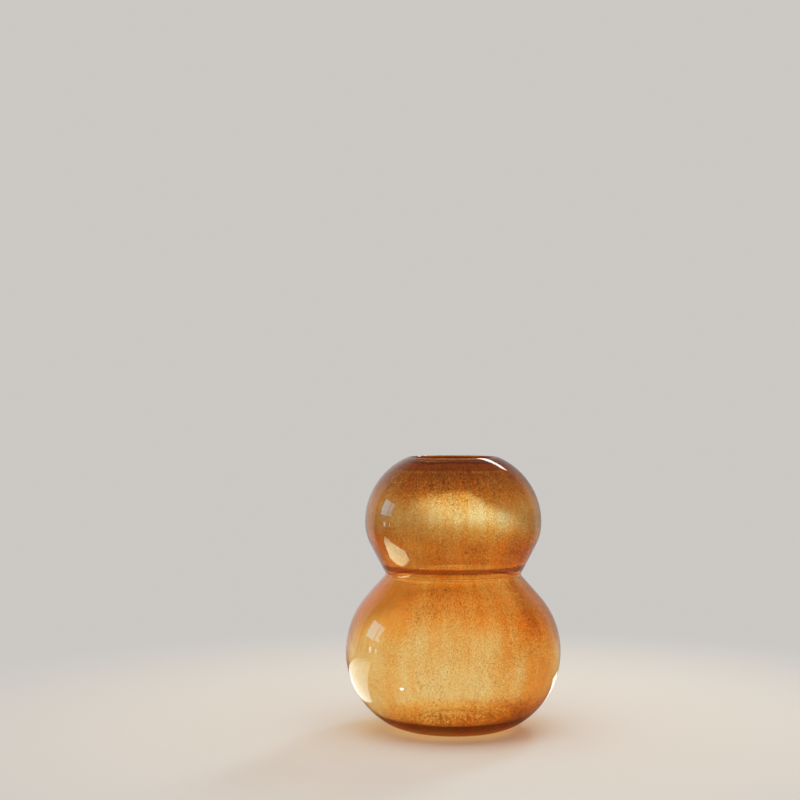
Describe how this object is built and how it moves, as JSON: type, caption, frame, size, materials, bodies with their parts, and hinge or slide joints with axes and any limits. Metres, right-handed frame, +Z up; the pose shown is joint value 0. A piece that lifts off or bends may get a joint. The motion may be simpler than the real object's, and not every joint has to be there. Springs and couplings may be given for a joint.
{
  "type": "gourd vase",
  "caption": "Double-bulb gourd vase of cased blown glass with a speckled amber colour layer and a narrow round mouth, for a few cut stems.",
  "frame": {"origin": "centre of the standing ring, on the surface that the vase stands on", "axes": "+Z up along the axis of the vase; it is round, so X and Y are free, and -Y is the side seen in the picture"},
  "size_m": [0.18, 0.18, 0.227],
  "materials": {
    "clear_glass": "fire-polished clear glass",
    "amber_glass": "translucent amber with fine speckles"
  },
  "bodies": {
    "root": {"clear_casing": "clear_glass", "amber_layer": "amber_glass", "inner_lining": "clear_glass"}
  },
  "joints": []
}
